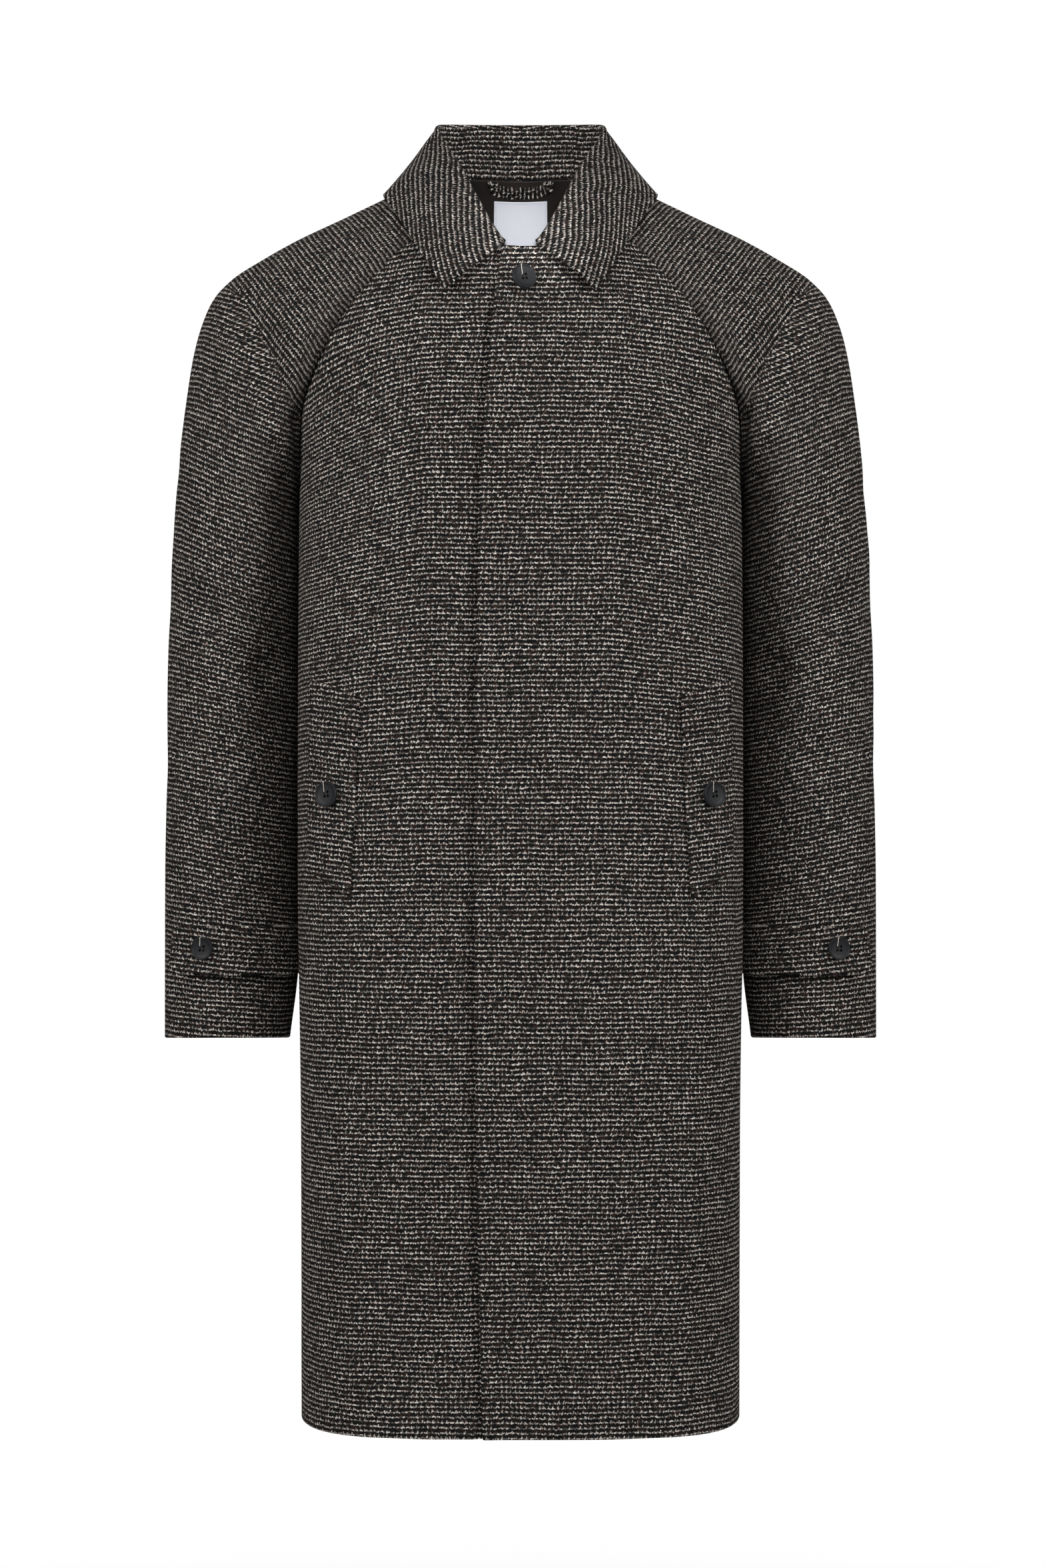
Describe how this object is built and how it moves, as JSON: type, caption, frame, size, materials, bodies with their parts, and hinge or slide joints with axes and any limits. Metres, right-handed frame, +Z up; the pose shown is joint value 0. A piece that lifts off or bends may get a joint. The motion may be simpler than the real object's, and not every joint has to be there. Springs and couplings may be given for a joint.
{
  "type": "car coat",
  "caption": "Knee-length raglan car coat in dark tweed with turn-down collar, fly front, buttoned welt pockets and cuff straps, filled out as when worn and open at neck, cuffs and hem.",
  "frame": {"origin": "between the shoulders at the base of the neck, where the wearer's shoulders and neck carry the coat", "axes": "+Z up along the wearer, -Y out of the coat's front, +X to the wearer's left"},
  "size_m": [0.572, 0.2959, 1.0438],
  "materials": {
    "tweed": "matte woollen tweed with slubs",
    "lining": "smooth satin",
    "label": "plain woven label, blank",
    "button": "satin resin"
  },
  "bodies": {
    "root": {"front_left": "tweed", "front_right": "tweed", "back": "tweed", "sleeve_front_left": "tweed", "sleeve_back_left": "tweed", "sleeve_front_right": "tweed", "sleeve_back_right": "tweed", "collar_stand": "tweed", "collar": "tweed", "pocket_welt_left": "tweed", "pocket_welt_right": "tweed", "cuff_strap_left": "tweed", "cuff_strap_right": "tweed", "hanger_loop": "tweed", "back_neck_lining": "lining", "label": "label", "button_neck": "button", "button_pocket_left": "button", "button_pocket_right": "button", "button_cuff_left": "button", "button_cuff_right": "button"}
  },
  "joints": []
}
